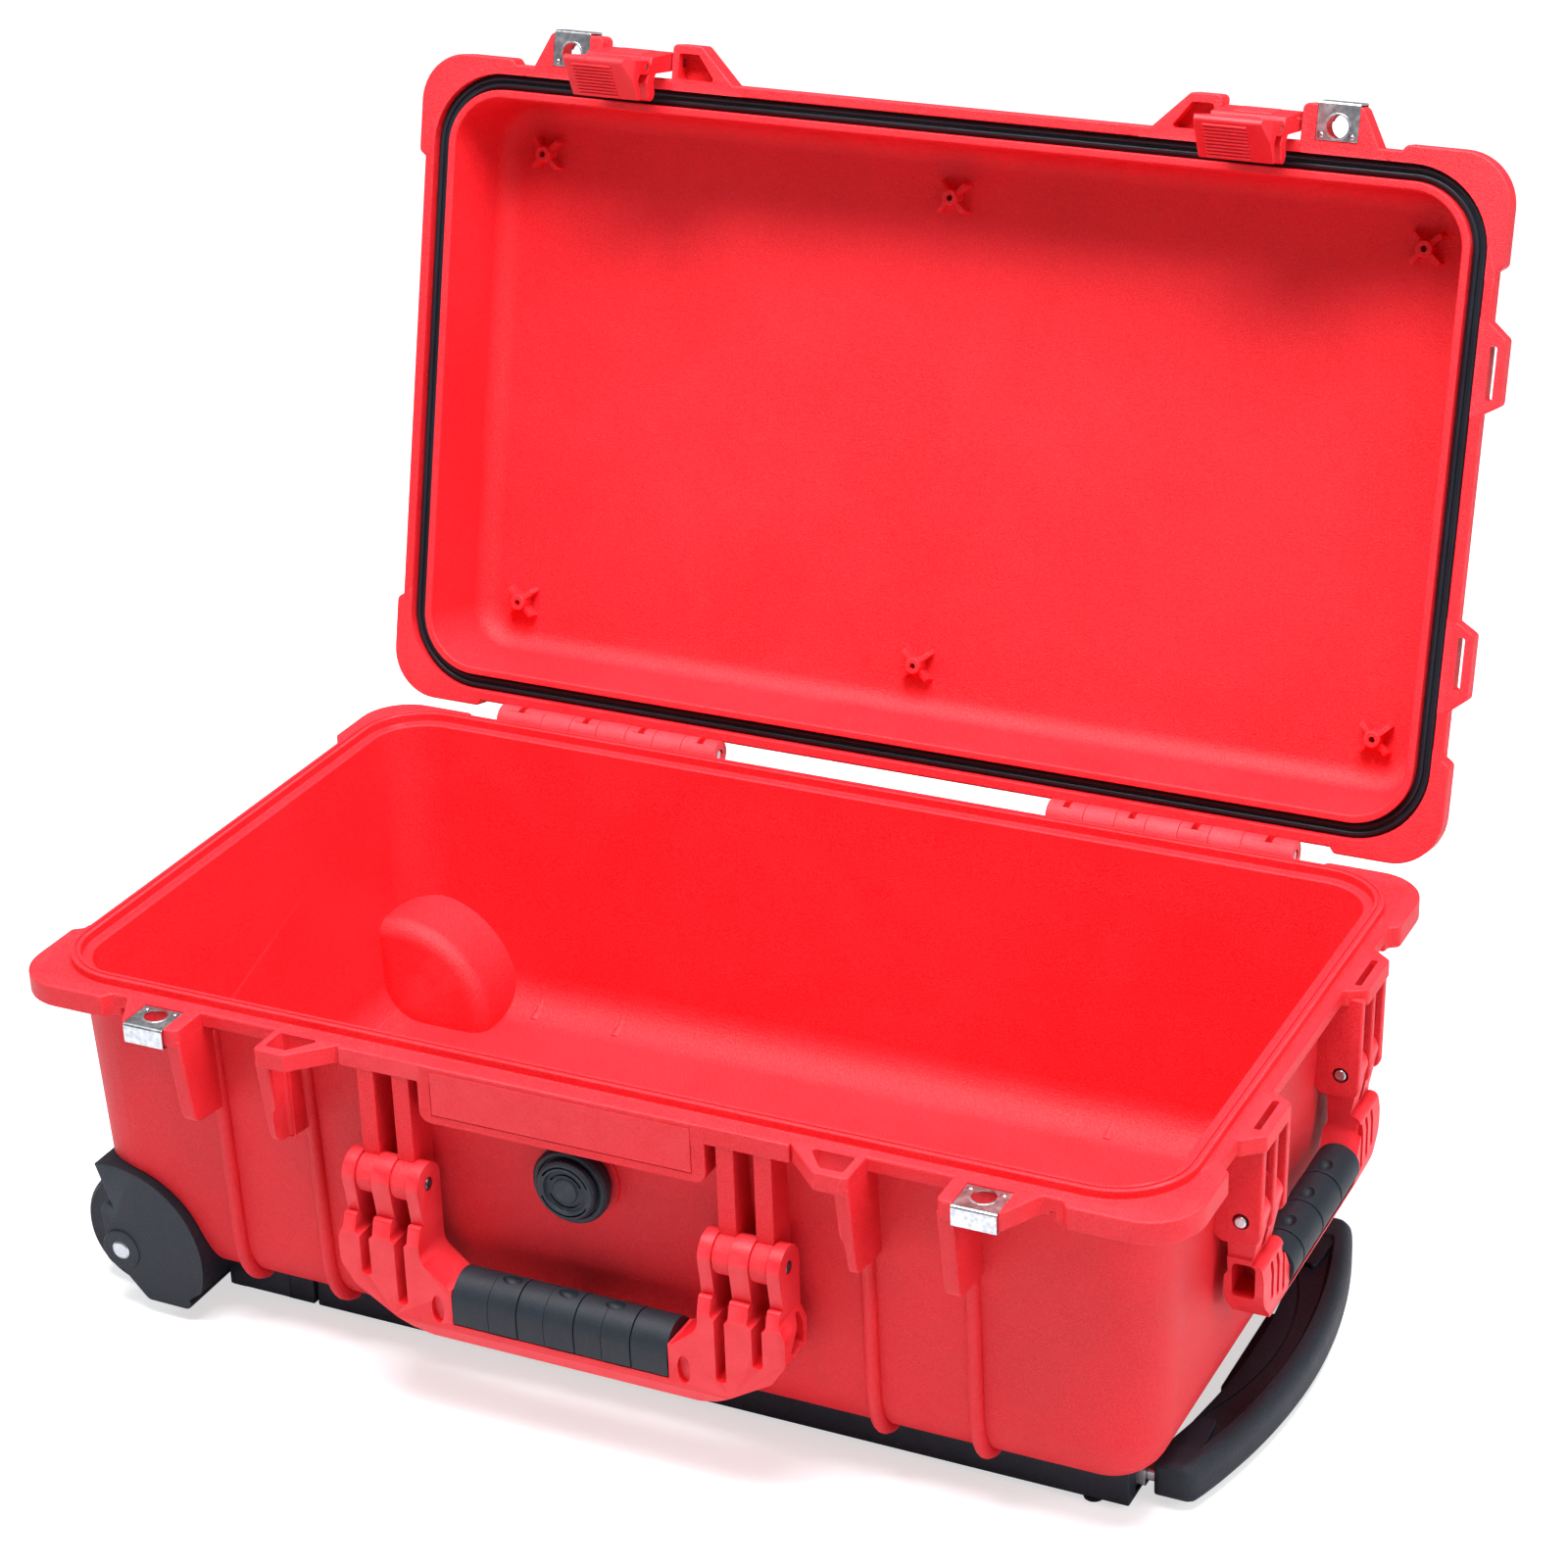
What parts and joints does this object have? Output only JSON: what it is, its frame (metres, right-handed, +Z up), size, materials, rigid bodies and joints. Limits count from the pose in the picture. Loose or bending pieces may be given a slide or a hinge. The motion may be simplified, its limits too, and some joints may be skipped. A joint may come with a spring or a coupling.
{
  "type": "rolling hard case",
  "caption": "Hard moulded rolling case with a hinged lid, over-centre latches, folding handles, wheels and a telescoping pull handle.",
  "frame": {"origin": "on the floor, under the middle of the open case's overall footprint", "axes": "+X towards the pull handle, -Y towards the latches at the front, +Z up"},
  "size_m": [0.546, 0.4598, 0.4954],
  "materials": {
    "red_shell": "fine moulded grain",
    "black_plastic": "fine moulded grain",
    "black_rubber": "soft matte",
    "steel": "bright plated",
    "dark_steel": "dark plated",
    "aluminium_tube": "satin anodised"
  },
  "bodies": {
    "base": {"base_floor_pan": "red_shell", "base_wheel_end": "red_shell", "base_handle_end": "red_shell", "base_front_wall": "red_shell", "base_rear_wall": "red_shell", "base_front_bracket_right": "red_shell", "base_front_bracket_left": "red_shell", "base_side_bracket_front": "red_shell", "base_side_bracket_rear": "red_shell", "base_padlock_plate_right": "steel", "base_padlock_plate_left": "steel", "hinge_pin_right": "steel", "hinge_pin_left": "steel", "front_handle_pin_right": "dark_steel", "front_handle_pin_left": "dark_steel", "side_handle_pin_front": "steel", "side_handle_pin_rear": "steel", "valve_body": "black_plastic", "valve_cap": "black_plastic", "valve_seal": "black_rubber", "valve_nut": "black_plastic", "wheel_housing_front": "black_plastic", "wheel_housing_rear": "black_plastic", "axle_front": "steel", "axle_rear": "steel", "rail_front": "black_plastic", "rail_rear": "black_plastic", "rail_foot_front": "black_rubber", "rail_foot_rear": "black_rubber", "rail_cross_bar": "black_plastic", "outer_tube_front": "aluminium_tube", "outer_tube_rear": "aluminium_tube"},
    "lid": {"lid_shell": "red_shell", "lid_gasket": "black_rubber", "lid_padlock_plate_right": "steel", "lid_padlock_plate_left": "steel", "latch_pin_right": "steel", "latch_pin_left": "steel"},
    "latch_hook_right_body": {"latch_hook_right": "red_shell", "lever_pin_right": "steel"},
    "latch_hook_left_body": {"latch_hook_left": "red_shell", "lever_pin_left": "steel"},
    "latch_lever_right_body": {"latch_lever_right": "red_shell"},
    "latch_lever_left_body": {"latch_lever_left": "red_shell"},
    "front_handle": {"front_handle_frame": "red_shell", "front_handle_grip": "black_rubber"},
    "side_handle": {"side_handle_frame": "red_shell", "side_handle_grip": "black_rubber"},
    "wheel_front": {"wheel_tyre_front": "black_rubber", "wheel_hub_front": "black_plastic", "wheel_bush_front": "aluminium_tube"},
    "wheel_rear": {"wheel_tyre_rear": "black_rubber", "wheel_hub_rear": "black_plastic", "wheel_bush_rear": "aluminium_tube"},
    "middle_stage": {"middle_tube_front": "aluminium_tube", "middle_tube_rear": "aluminium_tube"},
    "pull_handle": {"inner_tube_front": "aluminium_tube", "inner_tube_rear": "aluminium_tube", "pull_handle_grip": "black_plastic"},
    "release_trigger_body": {"release_trigger": "black_plastic"}
  },
  "joints": [
    {"name": "lid_hinge", "type": "hinge", "parent": "base", "child": "lid", "pos_m": [-0.0024, 0.10647, 0.168], "axis": [1, 0, 0], "range_deg": [0, 103.5]},
    {"name": "latch_hook_right_hinge", "type": "hinge", "parent": "lid", "child": "latch_hook_right_body", "pos_m": [0.15245, 0.19081, 0.48332], "axis": [-1, 0, 0], "range_deg": [0, 95]},
    {"name": "latch_lever_right_hinge", "type": "hinge", "parent": "latch_hook_right_body", "child": "latch_lever_right_body", "pos_m": [0.15245, 0.16179, 0.48751], "axis": [-1, 0, 0], "range_deg": [0, 70]},
    {"name": "latch_hook_left_hinge", "type": "hinge", "parent": "lid", "child": "latch_hook_left_body", "pos_m": [-0.15725, 0.19081, 0.48332], "axis": [-1, 0, 0], "range_deg": [0, 95]},
    {"name": "latch_lever_left_hinge", "type": "hinge", "parent": "latch_hook_left_body", "child": "latch_lever_left_body", "pos_m": [-0.15725, 0.16179, 0.48751], "axis": [-1, 0, 0], "range_deg": [0, 70]},
    {"name": "front_handle_hinge", "type": "hinge", "parent": "base", "child": "front_handle", "pos_m": [-0.0024, -0.21253, 0.112], "axis": [-1, 0, 0], "range_deg": [0, 95]},
    {"name": "side_handle_hinge", "type": "hinge", "parent": "base", "child": "side_handle", "pos_m": [0.2629, -0.05553, 0.128], "axis": [0, -1, 0], "range_deg": [0, 90]},
    {"name": "wheel_front_spin", "type": "hinge", "parent": "base", "child": "wheel_front", "pos_m": [-0.2404, -0.17303, 0.0305], "axis": [0, 1, 0], "continuous": true},
    {"name": "wheel_rear_spin", "type": "hinge", "parent": "base", "child": "wheel_rear", "pos_m": [-0.2404, 0.06197, 0.0305], "axis": [0, 1, 0], "continuous": true},
    {"name": "middle_stage_slide", "type": "slide", "parent": "base", "child": "middle_stage", "axis": [1, 0, 0], "range_m": [0, 0.21]},
    {"name": "pull_handle_slide", "type": "slide", "parent": "middle_stage", "child": "pull_handle", "axis": [1, 0, 0], "range_m": [0, 0.21]},
    {"name": "release_trigger_slide", "type": "slide", "parent": "pull_handle", "child": "release_trigger_body", "axis": [1, 0, 0], "range_m": [0, 0.004], "stiffness_N_per_m": 600, "springref_m": -0.002}
  ],
  "couplings": [
    {"joint": "pull_handle_slide", "follows": "middle_stage_slide", "ratio": 1}
  ]
}
